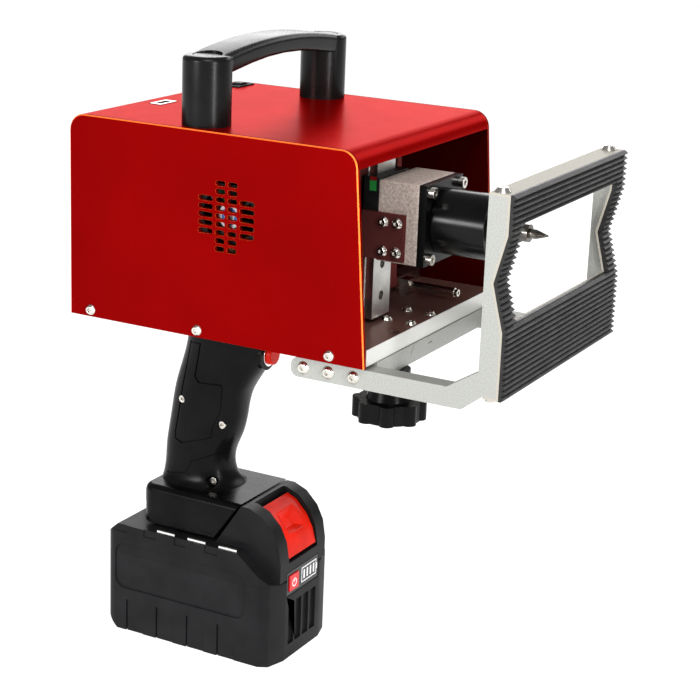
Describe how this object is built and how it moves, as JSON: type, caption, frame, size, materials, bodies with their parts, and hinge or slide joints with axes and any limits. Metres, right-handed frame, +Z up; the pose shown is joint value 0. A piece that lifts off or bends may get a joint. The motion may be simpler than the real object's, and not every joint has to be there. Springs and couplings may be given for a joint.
{
  "type": "hand-held dot peen marking machine",
  "caption": "Hand-held battery-powered dot peen marker: red box with carry handle, pistol grip and pack, carrying an electromagnetic stylus behind an adjustable ribbed front frame.",
  "frame": {"origin": "middle of the flat bottom of the battery pack, on the centre plane of the grip and case", "axes": "+Z up; -Y towards the marking front with its stylus; X across, with -X the side that shows the fan grille and the head"},
  "size_m": [0.1922, 0.319, 0.428],
  "materials": {
    "red_anodised": "satin red anodised",
    "bright_aluminium": "bead blasted",
    "satin_plate": "satin sheet",
    "black_anodised": "black anodised",
    "steel": "ground steel",
    "stainless": "polished stainless steel",
    "motor_black": "black enamel",
    "carriage_black": "blackened steel",
    "coil_black": "gloss black anodised",
    "gloss_black": "gloss moulded",
    "satin_black": "fine textured",
    "screen_glass": "gloss glass fronted",
    "circuit_green": "solder mask",
    "ribbed_rubber": "matt ribbed",
    "brass": "machined",
    "chrome": "polished",
    "red_cap": "gloss red",
    "latch_red": "gloss red-orange",
    "cell_can": "sleeved cell cans",
    "tool_steel": "carbide tipped steel",
    "panel_print": "printed label"
  },
  "bodies": {
    "housing": {"left_side_panel": "red_anodised", "right_side_panel": "red_anodised", "top_cover": "red_anodised", "touch_screen": "screen_glass", "base_plate": "red_anodised", "housing_screws": "stainless", "carry_handle": "gloss_black", "handle_caps": "satin_black", "fan_frame": "satin_black", "controller_board": "circuit_green", "x_rails": "steel", "x_motor": "motor_black", "x_screw_supports": "bright_aluminium", "tie_rod": "stainless", "data_port": "steel", "power_switch_frame": "satin_black", "grip_shell_left": "gloss_black", "grip_shell_right": "gloss_black", "grip_mounting_plate": "black_anodised", "grip_screws": "steel", "trigger_ring": "chrome", "trigger_switch": "satin_black", "strap_lug": "satin_black", "terminal_socket": "satin_black"},
    "front_frame": {"left_arm": "bright_aluminium", "right_arm": "bright_aluminium", "cross_plate": "bright_aluminium", "arm_screws": "stainless", "front_plate": "satin_plate", "rubber_mat": "ribbed_rubber", "frame_screws": "stainless"},
    "knob": {"star_knob": "gloss_black", "knob_stud": "steel"},
    "traverse": {"stage_bracket": "red_anodised", "x_bearing_blocks": "carriage_black", "x_nut": "brass", "z_rail": "steel", "z_motor": "motor_black"},
    "x_screw": {"x_leadscrew": "steel"},
    "lift": {"z_bearing_block": "carriage_black", "head_bracket": "red_anodised", "head_block": "bright_aluminium", "bracket_screws": "stainless", "head_flange": "black_anodised", "flange_screws": "steel", "coil_housing": "coil_black", "z_nut_arm": "brass"},
    "z_screw": {"z_leadscrew": "steel"},
    "stylus": {"stylus": "tool_steel"},
    "fan": {"fan_rotor": "satin_black"},
    "trigger": {"trigger_button": "red_cap"},
    "rocker": {"power_rocker": "gloss_black"},
    "battery": {"pack_lower_case": "satin_black", "pack_upper_case": "gloss_black", "battery_cells": "cell_can", "terminal_contacts": "brass", "gauge_panel": "panel_print", "pack_clips": "chrome"},
    "latch": {"latch_key": "latch_red"},
    "gauge": {"gauge_button": "red_cap"}
  },
  "joints": [
    {"name": "frame_slide", "type": "slide", "parent": "housing", "child": "front_frame", "axis": [0, -1, 0], "range_m": [0, 0.02]},
    {"name": "knob_turn", "type": "hinge", "parent": "housing", "child": "knob", "pos_m": [-0.045, -0.15, 0.22], "axis": [0, 0, -1], "range_deg": [0, 360]},
    {"name": "x_travel", "type": "slide", "parent": "housing", "child": "traverse", "axis": [1, 0, 0], "range_m": [-0.024, 0.054]},
    {"name": "x_screw_turn", "type": "hinge", "parent": "housing", "child": "x_screw", "pos_m": [0, -0.022, 0.289], "axis": [1, 0, 0], "continuous": true},
    {"name": "z_travel", "type": "slide", "parent": "traverse", "child": "lift", "axis": [0, 0, 1], "range_m": [-0.034, 0.012]},
    {"name": "z_screw_turn", "type": "hinge", "parent": "traverse", "child": "z_screw", "pos_m": [-0.001, -0.098, 0.33], "axis": [0, 0, 1], "continuous": true},
    {"name": "stylus_stroke", "type": "slide", "parent": "lift", "child": "stylus", "axis": [0, -1, 0], "range_m": [0, 0.004], "stiffness_N_per_m": 600},
    {"name": "fan_spin", "type": "hinge", "parent": "housing", "child": "fan", "pos_m": [-0.087, -0.0563, 0.3262], "axis": [1, 0, 0], "continuous": true},
    {"name": "trigger_press", "type": "slide", "parent": "housing", "child": "trigger", "axis": [0, 1, 0], "range_m": [0, 0.003], "stiffness_N_per_m": 500},
    {"name": "power_rock", "type": "hinge", "parent": "housing", "child": "rocker", "pos_m": [0.077, 0.041, 0.369], "axis": [0, 1, 0], "range_deg": [-8, 8]},
    {"name": "battery_slide", "type": "slide", "parent": "housing", "child": "battery", "axis": [0, -1, 0], "range_m": [0, 0.11]},
    {"name": "latch_press", "type": "slide", "parent": "battery", "child": "latch", "axis": [0, 0.7071, -0.7071], "range_m": [0, 0.0024], "stiffness_N_per_m": 800},
    {"name": "gauge_press", "type": "slide", "parent": "battery", "child": "gauge", "axis": [0, 1, 0], "range_m": [0, 0.0008], "stiffness_N_per_m": 500}
  ],
  "couplings": [
    {"joint": "x_screw_turn", "follows": "x_travel", "rad_per_m": 1570.8},
    {"joint": "z_screw_turn", "follows": "z_travel", "rad_per_m": 1570.8}
  ]
}
